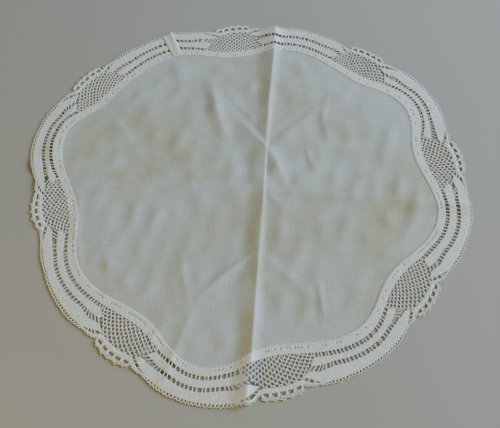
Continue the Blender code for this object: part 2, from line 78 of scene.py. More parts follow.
# A ridge rises to its line, a valley lies down along its line between two swells.
# Each station is (x, y, rise, left, right). Left and right are the widths of the
# flanks, seen from the first station to the last.
Station = namedtuple("Station", "x y rise left right")
RIDGES = {
    "spine": (
        (33, 256, 5.0, 15, 26), (29, 190, 5.6, 14, 23), (23, 110, 4.2, 9, 15),
        (20.5, 64, 3.4, 6, 24), (19.3, 40, 3.9, 2.5, 28), (18.2, 14, 3.6, 2.5, 26),
        (17.3, -4, 2.8, 5, 20), (16, -30, 3.4, 7, 20), (12.5, -85, 4.6, 9, 21),
        (6, -200, 5.8, 12, 18), (0, -262, 5.4, 14, 19),
    ),
    "centre pleat": ((-14, 92, 1.2, 17, 18), (3, 72, 3.2, 19, 26), (18, 52, 4.4, 12, 34)),
    "right arm": (
        (18, -8, 1.0, 16, 14), (110, -14, 1.0, 18, 15), (200, -22, 1.6, 18, 16),
        (256, -26, 3.4, 16, 16),
    ),
    "right wave": ((48, 54, 0.0, 20, 22), (110, 50, 1.6, 20, 22), (192, 50, 0.6, 20, 22)),
    "back dart": ((-47, 146, 1.0, 22, 13), (-40, 108, 3.6, 26, 15), (-30, 70, 1.0, 22, 13)),
    "small crescent": ((97, 132, 0.6, 9, 9), (88, 100, 1.6, 11, 11), (92, 64, 0.5, 9, 9)),
    "centre pucker": ((24, 48, 3.0, 18, 16), (33, 24, 4.4, 26, 22), (42, 2, 1.0, 16, 14)),
    "centre tuck": ((22, -12, 0.5, 9, 9), (30, -20, 0.9, 11, 11), (40, -34, 0.4, 9, 9)),
    "small dent": ((73, 24, 0.6, 7, 7), (68, 46, 1.4, 8, 8)),
    "front tuck left": ((12, -86, 2.0, 10, 9), (-22, -115, 2.6, 12, 9), (-50, -142, 0.8, 11, 9)),
    "front tuck right": ((14, -88, 1.0, 14, 15), (76, -146, 0.9, 13, 14)),
    "front dent": ((76, -124, 0.8, 9, 9), (78, -146, 2.4, 10, 10), (80, -164, 0.6, 9, 9)),
    "left dimple": ((-160, 88, 0.5, 14, 14), (-142, 62, 1.6, 15, 15)),
    "left stripe": ((-70, -94, 0.6, 10, 10), (-66, -120, 1.8, 11, 11), (-60, -146, 0.6, 10, 10)),
    "left swell": ((-158, -74, 0.5, 12, 12), (-148, -104, 1.4, 14, 14)),
    "hem wave inner": (
        (-56, -160, 0.6, 10, 10), (-72, -204, 2.0, 12, 12), (-80, -232, 1.2, 12, 12),
    ),
    "hem wave outer": (
        (-82, -168, 0.5, 9, 9), (-100, -198, 1.6, 10, 10), (-112, -220, 0.8, 10, 10),
    ),
    "left lobe": ((-226, -16, 0.5, 16, 22), (-232, 44, 2.6, 18, 28), (-212, 106, 0.8, 16, 24)),
    "lace lap": ((-91, 192, 0.5, 5, 5), (-104, 229, 1.2, 6, 6)),
    "hem roll": ((-188, -16, 0.6, 10, 10), (-188, -62, 1.6, 11, 11), (-178, -106, 0.6, 10, 10)),
}
VALLEYS = {
    "left arm": ((10, 2, 0.8, 20, 22), (-110, 4, 0.7, 26, 26), (-262, 7, 1.6, 30, 28)),
    "back crease": ((20, 58, 0.8, 12, 14), (-46, 144, 0.4, 14, 16)),
    "back crease right": ((22, 60, 0.7, 15, 15), (96, 132, 0.4, 16, 16)),
    "right hollow": ((24, -76, 0.4, 20, 20), (140, -74, 0.4, 22, 22)),
}
SOFT_MAXIMUM = 3.0  # folds that cross don't add up: the higher one carries on
RUMPLE, RUMPLE_WAVES, RUMPLE_FADE = 0.5, 40, 26.0
RUMPLE_TURN, RUMPLE_TURN_SPREAD, RUMPLE_LENGTHS = -0.25, 0.8, (22, 70)


def mix(start, end, share):
    return start + (end - start) * share


def ease(share):
    """Runs from 0 to 1 with a level start and end."""
    return (1 - np.cos(np.pi * np.clip(share, 0, 1))) / 2


def seam_radius(degrees):
    """Radius of the lace's inner edge in each direction."""
    first = REPEAT.crown_deg[-1] + 360
    turns = first - np.stack([REPEAT.dip_deg, REPEAT.crown_deg], axis=1).ravel()
    radii = np.stack([REPEAT.dip_radius, REPEAT.crown_radius], axis=1).ravel()
    turns, radii = np.append(0.0, turns), np.append(radii[-1], radii)
    place = (first - degrees) % 360
    after = np.clip(np.searchsorted(turns, place, side="right"), 1, len(turns) - 1)
    share = (place - turns[after - 1]) / (turns[after] - turns[after - 1])
    return mix(radii[after - 1], radii[after], ease(share))


def across_fold(stations, x, y):
    """How far across a fold each place lies, 0 on its line and 1 at the foot of its
    flank, with the fold's rise and the fullness of the flank there."""
    nearest, rise, full = np.full(x.shape, np.inf), np.zeros(x.shape), np.zeros(x.shape)
    stations = [Station(*station) for station in stations]
    for start, end in zip(stations, stations[1:]):
        run_x, run_y = end.x - start.x, end.y - start.y
        share = ((x - start.x) * run_x + (y - start.y) * run_y) / (run_x**2 + run_y**2)
        share = np.clip(share, 0, 1)
        away_x, away_y = x - start.x - run_x * share, y - start.y - run_y * share
        on_left = run_x * away_y - run_y * away_x > 0
        left, right = mix(start.left, end.left, share), mix(start.right, end.right, share)
        flank = np.where(on_left, left, right)
        away = np.sqrt(away_x**2 + away_y**2 + CREST_ROUNDING**2) - CREST_ROUNDING
        closer = away / flank < nearest
        nearest = np.where(closer, away / flank, nearest)
        rise = np.where(closer, mix(start.rise, end.rise, share), rise)
        full = np.where(closer, np.where(on_left, FULL_LEFT, FULL_RIGHT), full)
    return nearest, rise, full


def rise_at(x, y):
    """Height of the cloth's underside over the surface that it lies on."""
    total = np.zeros(x.shape)
    for stations in RIDGES.values():
        place, rise, full = across_fold(stations, x, y)
        flank = np.clip(1 - place, 0, 1) ** 2 * (1 + full * place)
        total += (rise * flank) ** SOFT_MAXIMUM
    for stations in VALLEYS.values():
        place, rise, _ = across_fold(stations, x, y)
        place = np.hypot(place, VALLEY_ROUNDING) - VALLEY_ROUNDING
        total += (rise * VALLEY_PEAK * place * np.clip(1 - place, 0, 1) ** 2) ** SOFT_MAXIMUM
    return total ** (1 / SOFT_MAXIMUM) + rumples(x, y)


def wave_table():
    """Random waves that run mostly across the doily: two wave numbers and a phase."""
    turn = rng.normal(RUMPLE_TURN, RUMPLE_TURN_SPREAD, RUMPLE_WAVES)
    number = 2 * np.pi / rng.uniform(*RUMPLE_LENGTHS, RUMPLE_WAVES)
    phase = rng.uniform(0, 2 * np.pi, RUMPLE_WAVES)
    return number * np.cos(turn), number * np.sin(turn), phase


WAVES = wave_table()


def rumples(x, y):
    """Height of the soft rumples of the washed linen, which end at the lace."""
    inside = ease((seam_radius(np.degrees(np.arctan2(y, x))) - np.hypot(x, y)) / RUMPLE_FADE)
    total = sum(np.sin(kx * x + ky * y + phase) for kx, ky, phase in zip(*WAVES))
    total = total / math.sqrt(RUMPLE_WAVES / 2)
    return RUMPLE * inside * np.log1p(np.exp(total + 1))


def in_frame(x, y, z):
    """Places of the plan as points of the frame, in metres."""
    return np.stack([x - PLAN_MIDDLE[0], y - PLAN_MIDDLE[1], z], axis=-1) * MM


def new_object(name, data):
    thing = bpy.data.objects.new(name, data)
    bpy.context.scene.collection.objects.link(thing)
    return thing


def new_piece(name, points, faces, material, uv=None):
    """A smooth mesh object from its points and faces."""
    mesh = bpy.data.meshes.new(name)
    mesh.from_pydata(points.tolist(), [], faces)
    if uv is not None:
        corners = np.empty(len(mesh.loops), dtype=np.int32)
        mesh.loops.foreach_get("vertex_index", corners)
        mesh.uv_layers.new(name="thread").data.foreach_set("uv", uv[corners].ravel())
    mesh.materials.append(material)
    mesh.shade_smooth()
    return new_object(name, mesh)


def grid_faces(corner):
    """Four-sided faces between the rows and columns of a grid of corner numbers."""
    quads = [corner[:-1, :-1], corner[:-1, 1:], corner[1:, 1:], corner[1:, :-1]]
    return np.stack(quads, axis=-1)


def soft_sheet(name, middle, faces, half, material, uv=None):
    """A cloth with two sides and a rounded rim, from the faces of its middle layer."""
    count = len(middle)
    ends = np.concatenate([np.stack([faces[:, i], faces[:, (i + 1) % 4]], 1) for i in range(4)])
    pairs = np.sort(ends, axis=1)
    _, where, uses = np.unique(pairs, axis=0, return_inverse=True, return_counts=True)
    rim = np.zeros(count, dtype=bool)
    rim[ends[uses[where.ravel()] == 1].ravel()] = True
    up = np.array((0.0, 0.0, half * MM))
    points = np.concatenate([np.where(rim[:, None], middle, middle + up), middle - up])
    below = np.where(rim, np.arange(count), np.arange(count) + count)
    sides = np.concatenate([faces, below[faces[:, ::-1]]])
    used, sides = np.unique(sides, return_inverse=True)
    sides = sides.reshape(-1, 4)
    both = None if uv is None else np.concatenate([uv, uv])[used]
    return new_piece(name, points[used], sides.tolist(), material, both)


def set_inputs(tree, node, inputs):
    """Sets a node's inputs, each to a value or to the socket that feeds it."""
    for title, value in inputs.items():
        if isinstance(value, bpy.types.NodeSocket):
            tree.links.new(value, node.inputs[title])
        else:
            node.inputs[title].default_value = value


def new_node(tree, kind, inputs, **settings):
    """A shader node with its settings and inputs."""
    node = tree.nodes.new(kind)
    for name, setting in settings.items():
        setattr(node, name, setting)
    set_inputs(tree, node, inputs)
    return node


def value_node(tree, operation, *values):
    """The output of a Math node, from numbers or the sockets that feed it."""
    inputs = dict(enumerate(values))
    return new_node(tree, "ShaderNodeMath", inputs, operation=operation).outputs["Value"]


def noise_node(tree, places, scale, **inputs):
    """The output of a noise texture."""
    inputs = {"Vector": places, "Scale": scale, **inputs}
    return new_node(tree, "ShaderNodeTexNoise", inputs).outputs["Fac"]


def range_node(tree, value, limits, mapped=(0, 1), kind="LINEAR"):
    """The output of a Map Range node, from one pair of limits to another."""
    inputs = dict(enumerate((value, *limits, *mapped)))
    node = new_node(tree, "ShaderNodeMapRange", inputs, interpolation_type=kind)
    return node.outputs["Result"]


def new_group(name, inputs, outputs):
    """A shader node group; its inputs and outputs are given as {name: type}."""
    group = bpy.data.node_groups.new(name, "ShaderNodeTree")
    for way, sockets in (("INPUT", inputs), ("OUTPUT", outputs)):
        for title, kind in sockets.items():
            kind = "NodeSocket" + kind
            group.interface.new_socket(title, in_out=way, socket_type=kind)
    enter, leave = group.nodes.new("NodeGroupInput"), group.nodes.new("NodeGroupOutput")
    return group, enter.outputs, leave


def plain_weave_group():
    """Height of a plain weave: threads along both axes that pass over and under."""
    inputs = {"Vector": "Vector", "Threads": "Float"}
    group, enter, leave = new_group("plain_weave", inputs, {"Height": "Float"})
    split = new_node(group, "ShaderNodeSeparateXYZ", {"Vector": enter["Vector"]}).outputs
    count = [value_node(group, "MULTIPLY", split[axis], enter["Threads"]) for axis in "XY"]
    heights = []
    for own, other in (count, count[::-1]):
        number = value_node(group, "FLOOR", own)
        shift = value_node(group, "ADD", other, value_node(group, "ADD", number, len(heights)))
        over = value_node(group, "SINE", value_node(group, "MULTIPLY", shift, math.pi))
        over = value_node(group, "MULTIPLY_ADD", over, 0.5, 0.5)
        rounded = value_node(group, "SINE", value_node(group, "MULTIPLY", own, math.pi))
        heights.append(value_node(group, "MULTIPLY", value_node(group, "ABSOLUTE", rounded), over))
    set_inputs(group, leave, {"Height": value_node(group, "MAXIMUM", *heights)})
    return group


def uneven_group():
    """Soft uneven colour of old washed cloth: a slow drift with fainter blotches."""
    inputs = {"Vector": "Vector", "Plain": "Color", "Aged": "Color"}
    inputs.update({"Scale": "Float", "Amount": "Float"})
    group, enter, leave = new_group("uneven_tone", inputs, {"Color": "Color"})
    noise = noise_node(group, enter["Vector"], enter["Scale"], Detail=3.0, Roughness=0.62)
    spread = range_node(group, noise, limits=(0.38, 0.72), kind="SMOOTHSTEP")
    share = value_node(group, "MULTIPLY", spread, enter["Amount"])
    inputs = {"Factor": share, "A": enter["Plain"], "B": enter["Aged"]}
    blend = new_node(group, "ShaderNodeMix", inputs, data_type="RGBA")
    set_inputs(group, leave, {"Color": blend.outputs["Result"]})
    return group


PLAIN_WEAVE, UNEVEN_TONE = plain_weave_group(), uneven_group()


def weave_node(tree, places, threads):
    """Height of a plain weave with this many threads a metre."""
    inputs = {"Vector": places, "Threads": threads}
    return new_node(tree, "ShaderNodeGroup", inputs, node_tree=PLAIN_WEAVE).outputs["Height"]


def tone_node(tree, places, plain, aged, scale, amount):
    """Colour that drifts from a plain tone to an aged one."""
    inputs = {"Vector": places, "Plain": (*plain, 1), "Aged": (*aged, 1)}
    inputs.update({"Scale": scale, "Amount": amount})
    return new_node(tree, "ShaderNodeGroup", inputs, node_tree=UNEVEN_TONE).outputs["Color"]


def fibre_material(name, roughness, sheen):
    """A matt material for thread or cloth, and its tree, shader and coordinates."""
    material = bpy.data.materials.new(name)
    material.use_nodes = True
    tree = material.node_tree
    shader = tree.nodes["Principled BSDF"]
    set_inputs(tree, shader, {"Roughness": roughness, "Specular IOR Level": 0.25})
    set_inputs(tree, shader, {"Sheen Weight": sheen, "Sheen Roughness": 0.5})
    return material, tree, shader, tree.nodes.new("ShaderNodeTexCoord").outputs


def add_bump(tree, shader, height, distance, strength):
    inputs = {"Height": height, "Distance": distance, "Strength": strength}
    bump = new_node(tree, "ShaderNodeBump", inputs)
    set_inputs(tree, shader, {"Normal": bump.outputs["Normal"]})


def add_colour(tree, shader, tone, shade):
    """Colours the cloth with a tone times a shade: on the linen the thick threads' own tone, on
    the braid painted shade in the weave's hollows times pale flecks.
    """
    shaded = new_node(tree, "ShaderNodeVectorMath", {0: tone, "Scale": shade}, operation="SCALE")
    set_inputs(tree, shader, {"Base Color": shaded.outputs["Vector"]})


def linen_material():
    material, tree, shader, places = fibre_material("linen", roughness=0.86, sheen=0.08)
    place = places["Object"]
    weave = weave_node(tree, place, LINEN_THREADS)
    tone = tone_node(tree, place, LINEN_PLAIN, LINEN_AGED, scale=9.0, amount=0.9)
    slubs = []
    for stretch in (SLUB, (SLUB[1], SLUB[0], SLUB[2])):
        mapping = new_node(tree, "ShaderNodeMapping", {"Vector": place, "Scale": stretch})
        slubs.append(noise_node(tree, mapping.outputs["Vector"], 1.0, Detail=2.0))
    slub = value_node(tree, "ADD", *slubs)
    shade = range_node(tree, slub, limits=(0.7, 1.3), mapped=(0.88, 1.11))
    add_colour(tree, shader, tone, shade)
    relief = value_node(tree, "MULTIPLY_ADD", slub, SLUB_RELIEF, weave)
    add_bump(tree, shader, relief, distance=0.00012, strength=0.6)
    return material


def linen_centre():
    """The panel, on a grid whose lines follow the two long creases."""
    spine = np.array(RIDGES["spine"])[::-1]
    arms = np.array(VALLEYS["left arm"][::-1] + RIDGES["right arm"])
    widest = REPEAT.crown_radius.max() + SEAM_LAP + LINEN_STEP
    count = int(widest * GRID_SPARE // LINEN_STEP)
    line = np.arange(-count, count + 1) * LINEN_STEP
    dense = line - FINE_AT_CREASE * line * np.exp(-((line / CREASE_REACH) ** 2))
    column, row = np.meshgrid(dense, line, indexing="ij")
    x = column
    for _ in range(GRID_ROUNDS):
        y = row + np.interp(x, arms[:, 0], arms[:, 1]) * (1 - np.abs(row) / (2 * widest))
        away = 1 - np.abs(column) / (2 * widest)
        x = column + np.interp(y, spine[:, 1], spine[:, 0]) * away
    degrees, radius = np.degrees(np.arctan2(y, x)), np.hypot(x, y)
    edge = seam_radius(degrees) + SEAM_LAP
    corner = np.arange(x.size).reshape(x.shape)
    faces = grid_faces(corner.T).swapaxes(0, 1).reshape(-1, 4)
    inside = (radius < edge).ravel()
    faces = faces[inside[faces].sum(axis=1) >= 3]
    shrink = np.minimum(edge / radius, 1.0)
    x, y = (x * shrink).ravel(), (y * shrink).ravel()
    height = rise_at(x, y) + LINEN_UNDER + LINEN_THICKNESS / 2
    points, half = in_frame(x, y, height), LINEN_THICKNESS / 2
    return soft_sheet("linen_centre_cloth", points, faces, half, linen_material())


linen = linen_centre()
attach(linen, "root")
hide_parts("linen_centre")

# ==== Lace: close braid
# The border is one strip of bobbin lace in thick linen thread. Three bands of close
# cloth stitch run along it: the footside that is sewn on the hem, a middle band from
# oval to oval, and the wide outer band, which splits at each oval into a fan.

MM_PER_DEGREE = 220.0 * math.radians(1)  # distances along the lace are at this radius
LENGTH = 360 * MM_PER_DEGREE
LACE_MIDDLE = 0.85  # height of the lace's middle layer over the cloth's underside
ON_HEM, LACE_DOWN = 0.16, 8.5
BRAID_HALF, BRAID_ROW = 0.29, 1.1
BRAID_PLAIN, BRAID_AGED = (0.89, 0.895, 0.875), (0.83, 0.83, 0.77)
BRAID_THREADS, BRAID_RELIEF = 770.0, 1.5
JOIN_GAP, JOIN_CORNER, JOIN_REACH = 0.3, 4.0, 10.0

# The strip's width in the plain pattern, as (along from the middle of an oval, width).
ARCADE_END, ARCADE_FOOT = 19.5, 27.0
WIDTHS = (
    (0.0, 55.0), (ARCADE_END, 54.0), (ARCADE_FOOT, 46.0), (40.0, 43.5),
    (55.0, 40.8), (70.0, 39.0), (120.0, 38.5),
)

# Each oval departs from the plain pattern. Its foot and its head are pushed along the
# strip, its head is tilted, its net leans, and its loops stand closer or wider apart.
Bend = namedtuple("Bend", "foot head tilt lean loop_pitch")
BENDS = (
    (-1.0, -2.0, 0.06, 0.07, 7.9),
    (0.0, -4.0, 0.17, -0.08, 7.6),
    (0.5, -2.0, 0.00, 0.01, 8.0),
    (0.5, 2.0, 0.00, 0.02, 8.1),
    (-1.8, -1.7, 0.09, -0.16, 7.5),
    (0.8, -1.5, -0.03, 0.04, 7.9),
    (3.5, 0.5, 0.04, -0.05, 8.7),
    (-2.3, 2.3, -0.07, 0.08, 7.9),
)
FOOT_OUT, HEAD_OUT = 11.0, 46.0  # where the foot and the head lie, out from the seam
FOOT_FULL, FOOT_REACH, HEAD_FULL, HEAD_REACH = 39.0, 60.0, 22.0, 40.0  # and along it

# How much farther out the lace's edge lies than in the plain pattern, at these places
# along the strip from the middle of each oval.
RIM_PLACES = (-72, -54, -36, -24, -18, 0, 18, 24, 36, 54, 72)
RIMS = (
    (-1.7, -1.8, -3.2, -1.0, -1.2, -1.0, 1.0, -0.9, -4.0, -2.4, -1.0),
    (-1.4, -0.4, -0.9, 2.3, -0.9, -2.2, -1.3, -1.3, 2.0, 0.9, -1.5),
    (-1.3, -1.1, -2.3, 0.2, 0.4, 0.1, 1.8, 2.0, -1.2, -1.7, -0.4),
    (-2.0, -0.4, -0.7, 1.4, 0.1, 0.0, 1.2, 0.6, -2.9, -1.8, -2.0),
    (0.2, 1.2, -0.7, 1.6, 0.5, 0.0, 1.4, 3.3, 3.3, 2.0, 0.2),
    (0.0, 0.2, -1.5, -0.2, 1.1, 1.0, -0.1, 1.6, -0.4, 1.9, 0.1),
    (-3.3, -2.3, -2.2, 1.3, 0.7, 1.1, 0.3, -0.2, -4.0, -1.7, -0.5),
    (-1.8, -0.2, 0.0, 0.4, -0.1, -0.9, 0.3, 2.0, -0.8, 0.6, -1.8),
)
RIM_ROOT = 30.0  # only the outer band and the head of the oval follow the edge

# The ladders beside each oval: how far out the inner and the outer one lie, the half
# height of the inner one, and how far out that runs round the next crown.
Ladders = namedtuple(
    "Ladders", "inner_before half_before outer_before inner_after half_after outer_after crown"
)
LADDERS = (
    (11.3, 1.6, 26.5, 11.0, 1.6, 27.0, 10.5),
    (11.6, 1.7, 26.8, 14.8, 1.9, 29.0, 14.5),
    (12.3, 1.7, 26.3, 12.4, 1.7, 28.0, 11.0),
    (12.2, 2.0, 28.0, 12.0, 1.8, 25.4, 13.0),
    (13.5, 2.2, 27.8, 13.2, 2.7, 28.5, 11.0),
    (13.2, 1.5, 26.8, 12.8, 2.0, 28.0, 12.0),
    (12.3, 1.7, 26.2, 12.2, 1.6, 25.8, 14.0),
    (13.0, 2.3, 28.5, 12.0, 2.0, 27.2, 11.5),
)

# Outlines round an oval, as (along from its middle, out from the seam).
NET_SHOULDER = ((20.5, 36.3), (24, 33.4), (27, 31.4), (31, 30.2), (36, 29.9))
NET_SHOULDER_END, NET_NECK, NET_SIDE = 25.5, 29.8, 37.8
FAN_INNER = (
    (0, 41.2), (9, 40.4), (15, 38.9), (19, 38.4), (22.5, 40.0),
    (26, 41.7), (30, 42.3), (34, 41.9), (36.5, 41.5),
)
FAN_TAIL = ((20.5, 36.5), (23.3, 37.0), (26.3, 38.0), (29.5, 39.1), (33.5, 40.6), (36.5, 41.2))
FAN_OUTER = ((0, 46.6), (8, 46.2), (16, 44.2), (21, 43.6), (27, 44.5))
BAND_RIM = 1.5  # the picots stand this much beyond the outer band
GAP_END, GAP_MERGED, CROWN_RIM_BAND = 36.5, 50.0, 3.2

OUTER_LADDER_CROWN = 23.3
LADDER_HALF, OUTER_LADDER_HALF_NET = 2.05, 2.9
LADDER_START, LADDER_PITCH, LADDER_TURN = 38.4, 4.05, 26.0
SCALLOP, OUTER_SCALLOP = 0.3, 1.2  # bars pull the bands' edges into the slots
BAR_UNEVEN = 0.5
BAND_END, BAND_END_LEAN, BAND_END_ROUND = 33.4, 0.75, 3.4
BAND_TIP, BAND_LEAN_RUN, TAIL_GAP = 0.3, 14, 0.3


# The tables by column, with a value for each oval.
BEND, LADDER = Bend(*np.transpose(BENDS)), Ladders(*np.transpose(LADDERS))
MOTIF_AT = (JOIN_DEG - REPEAT.motif_deg) * MM_PER_DEGREE
CROWN_AT = (JOIN_DEG - REPEAT.crown_deg) * MM_PER_DEGREE
NEXT_MOTIF_AT = np.append(MOTIF_AT[1:], MOTIF_AT[0] + LENGTH)
RIM_NODES = np.add.outer(MOTIF_AT, RIM_PLACES).ravel()
ROWS = np.arange(JOIN_GAP, LENGTH - JOIN_GAP, BRAID_ROW)  # rows of the braid


def from_motif(distance):
    """Which oval each place along the strip belongs to, and how far along from it."""
    place = distance % LENGTH
    index = np.searchsorted(CROWN_AT, place) % len(REPEATS)
    return index, place - MOTIF_AT[index] - LENGTH * (place > CROWN_AT[-1])


def table_at(table, places):
    return np.interp(places, *np.array(table, dtype=float).T)


def edge_radius(index, along, distance):
    """Radius of the line that the strip's outer edge follows."""
    after, place = along >= 0, np.abs(along)
    crown = np.where(after, CROWN_AT[index], CROWN_AT[index - 1] - LENGTH * (index == 0))
    crown = np.abs(crown - MOTIF_AT[index])
    beside = np.where(after, REPEAT.edge_after[index], REPEAT.edge_before[index])
    crown_edge = np.where(after, REPEAT.crown_edge[index], REPEAT.crown_edge[index - 1])
    fall = np.clip((place - ARCADE_END) / (ARCADE_FOOT - ARCADE_END), 0, 1)
    swell = np.clip((place - ARCADE_FOOT) / (crown - ARCADE_FOOT), 0, 1)
    radius = mix(REPEAT.arcade_edge[index], beside, fall)
    radius = radius + (crown_edge - beside) * np.sin(np.pi / 2 * swell)
    from_join = np.abs((distance + LENGTH / 2) % LENGTH - LENGTH / 2)
    return radius + JOIN_CORNER * np.clip(1 - from_join / JOIN_REACH, 0, 1)


def reach(along, full, end):
    """1 up to one distance from the middle of an oval and 0 beyond another."""
    return ease((end - np.abs(along)) / (end - full))


def on_lace(distance, out):
    """Plan places of points along the strip and out from the seam."""
    distance, out = np.broadcast_arrays(distance, out)
    index, along = from_motif(distance)
    height = np.clip((out - FOOT_OUT) / (HEAD_OUT - FOOT_OUT), 0, 1)
    head = height * reach(along, HEAD_FULL, HEAD_REACH)
    foot = (1 - height) * reach(along, FOOT_FULL, FOOT_REACH)
    out = out + BEND.tilt[index] * along * head
    pushed = BEND.head[index] * head + BEND.foot[index] * foot
    along = along + pushed
    degrees = JOIN_DEG - (distance + pushed) / MM_PER_DEGREE
    seam, nominal = seam_radius(degrees), table_at(WIDTHS, np.abs(along))
    radius = seam + out * (edge_radius(index, along, distance) - seam) / nominal
    rim = np.interp(distance + pushed, RIM_NODES, np.ravel(RIMS), period=LENGTH)
    radius = radius + rim * np.maximum(0, (out - RIM_ROOT) / (nominal - RIM_ROOT))
    return radius * np.cos(np.radians(degrees)), radius * np.sin(np.radians(degrees))


def on_cloth(distance, out, lift=0.0):
    """The same places in the frame, in the middle of the lace's thickness."""
    x, y = on_lace(distance, out)
    from_seam = np.hypot(x, y) - seam_radius(np.degrees(np.arctan2(y, x)))
    on_hem = ON_HEM * (1 - ease((from_seam - SEAM_LAP) / (LACE_DOWN - SEAM_LAP)))
    return in_frame(x, y, rise_at(x, y) + on_hem + LACE_MIDDLE + lift)


def ladder_at(name, index, after):
    """A measure of the ladders after an oval, or else before it."""
    after_it, before_it = getattr(LADDER, name + "_after"), getattr(LADDER, name + "_before")
    return np.where(after, after_it[index], before_it[index])


def near_net(along):
    """1 beside an oval, falling to 0 where the ladders run level."""
    return ease(1 - (np.abs(along) - BAND_END) / LADDER_TURN)


def inner_ladder(distance):
    """Middle and half height of the inner ladder."""
    index, along = from_motif(distance)
    share, after = near_net(along), along >= 0
    crown = LADDER.crown[np.where(after, index, index - 1)]
    middle, half = ladder_at("inner", index, after), ladder_at("half", index, after)
    return mix(crown, middle, share), mix(LADDER_HALF, half, share)


def outer_ladder(distance):
    """Middle and half height of the outer ladder."""
    index, along = from_motif(distance)
    share = near_net(along)
    middle = mix(OUTER_LADDER_CROWN, ladder_at("outer", index, along >= 0), share)
    return middle, mix(LADDER_HALF, OUTER_LADDER_HALF_NET, share**2)


def net_foot(index, along):
    """Lower edge of an oval, from the one inner ladder to the other."""
    share = np.clip(along / (2 * LADDER_START) + 0.5, 0, 1)
    sides = (False, True)
    before, after = (ladder_at("inner", index, s) - ladder_at("half", index, s) for s in sides)
    return mix(before, after, ease(share))


def ladder_bars():
    """Places along the strip of the bars between the bands, unevenly spaced."""
    bars = []
    for near, far in zip(MOTIF_AT, NEXT_MOTIF_AT):
        run = far - near - 2 * LADDER_START
        steps = round(run / LADDER_PITCH)
        bars.append(near + LADDER_START + run * np.arange(steps + 1) / steps)
    bars = np.concatenate(bars) % LENGTH
    return np.sort(bars + rng.normal(0, BAR_UNEVEN, len(bars)))


BARS = ladder_bars()


def scallop(distance):
    """How far the bars pull the edge of a band into the slots."""
    phase = np.interp(distance, BARS, np.arange(len(BARS)))
    beside_net = np.abs(from_motif(distance)[1]) < LADDER_START
    return np.where(beside_net, 0.0, SCALLOP * np.cos(2 * np.pi * phase))


def band_edges(distance):
    """Distances out from the seam of the edges of the three bands."""
    index, along = from_motif(distance)
    place, pull = np.abs(along), scallop(distance)
    middle, half = inner_ladder(distance)
    foot = np.where(place < LADDER_START, net_foot(index, along), middle - half + pull)
    middle_inner = middle + half - pull
    middle, half = outer_ladder(distance)
    middle_outer = middle - half + pull
    outer_inner = middle + half - pull * OUTER_SCALLOP
    at_net = place < NET_SHOULDER[-1][0]
    outer_inner = np.where(at_net, table_at(NET_SHOULDER, place), outer_inner)
    rim = table_at(WIDTHS, place) - BAND_RIM
    rim = np.where(place < FAN_OUTER[-1][0], table_at(FAN_OUTER, place), rim)
    rim_band = mix(1.0, CROWN_RIM_BAND, ease((place - GAP_END) / (GAP_MERGED - GAP_END)))
    fan = np.where(place < GAP_END, table_at(FAN_INNER, place), rim - rim_band)
    tail = np.where(place < GAP_END, table_at(FAN_TAIL, place), rim - rim_band - TAIL_GAP)
    return foot, middle_inner, middle_outer, outer_inner, tail, fan, rim


def across(edge_in, edge_out, shares):
    """Rows of places from one edge of a band to the other."""
    return edge_in[:, None] + (edge_out - edge_in)[:, None] * np.array(shares)


def band(distance, outs, gone=None, lift=0.0):
    """A band's middle layer from rows of places: points, faces that aren't gone, uv."""
    distance = np.broadcast_to(distance, outs.shape)
    points = on_cloth(distance, outs, lift).reshape(-1, 3)
    faces = grid_faces(np.arange(outs.size).reshape(outs.shape))
    faces = faces.reshape(-1, 4) if gone is None else faces[~gone]
    uv = np.stack([distance, outs], axis=-1).reshape(-1, 2) * MM
    return points, faces, uv


FOOT_SHARES = (0, 0.035, 0.13, 0.26, 0.39, 0.47, 0.58, 0.68, 0.78, 0.88, 0.965, 1)
MIDDLE_SHARES = (0, 0.045, 0.15, 0.28, 0.42, 0.56, 0.7, 0.84, 0.955, 1)
OUTER_SHARES = (0, 0.03, 0.12, 0.22, 0.32, 0.42, 0.52, 0.62, 0.72, 0.82, 0.91, 1)
RIM_SHARES = (0, 0.3, 0.52, 0.74, 1)
FOOT_PINHOLE, RIM_PINHOLE = 4, 2  # the column of faces that the pinholes are in
PINHOLE_ROWS, PINHOLE_SHARE, RIM_PINHOLE_START = 3, 0.35, 39.5


def footside_band():
    outs = across(np.zeros(len(ROWS)), band_edges(ROWS)[0], FOOT_SHARES)
    gone = np.zeros((len(ROWS) - 1, len(FOOT_SHARES) - 1), dtype=bool)
    count = len(gone[1::PINHOLE_ROWS])
    gone[1::PINHOLE_ROWS, FOOT_PINHOLE] = rng.random(count) < PINHOLE_SHARE
    return band(ROWS[:, None], outs, gone)


def outer_band():
    inner, tail, fan, rim = band_edges(ROWS)[3:]
    place = np.abs(from_motif((ROWS[1:] + ROWS[:-1]) / 2)[1])
    outs = np.concatenate([across(inner, tail, OUTER_SHARES), across(fan, rim, RIM_SHARES)], 1)
    gone = np.zeros((len(ROWS) - 1, outs.shape[1] - 1), dtype=bool)
    gap = len(OUTER_SHARES) - 1
    gone[place < NET_SHOULDER[0][0], :gap] = True
    gone[place < GAP_END, gap] = True
    gone[1::PINHOLE_ROWS, gap + 1 + RIM_PINHOLE] = place[1::PINHOLE_ROWS] > RIM_PINHOLE_START
    return band(ROWS[:, None], outs, gone)


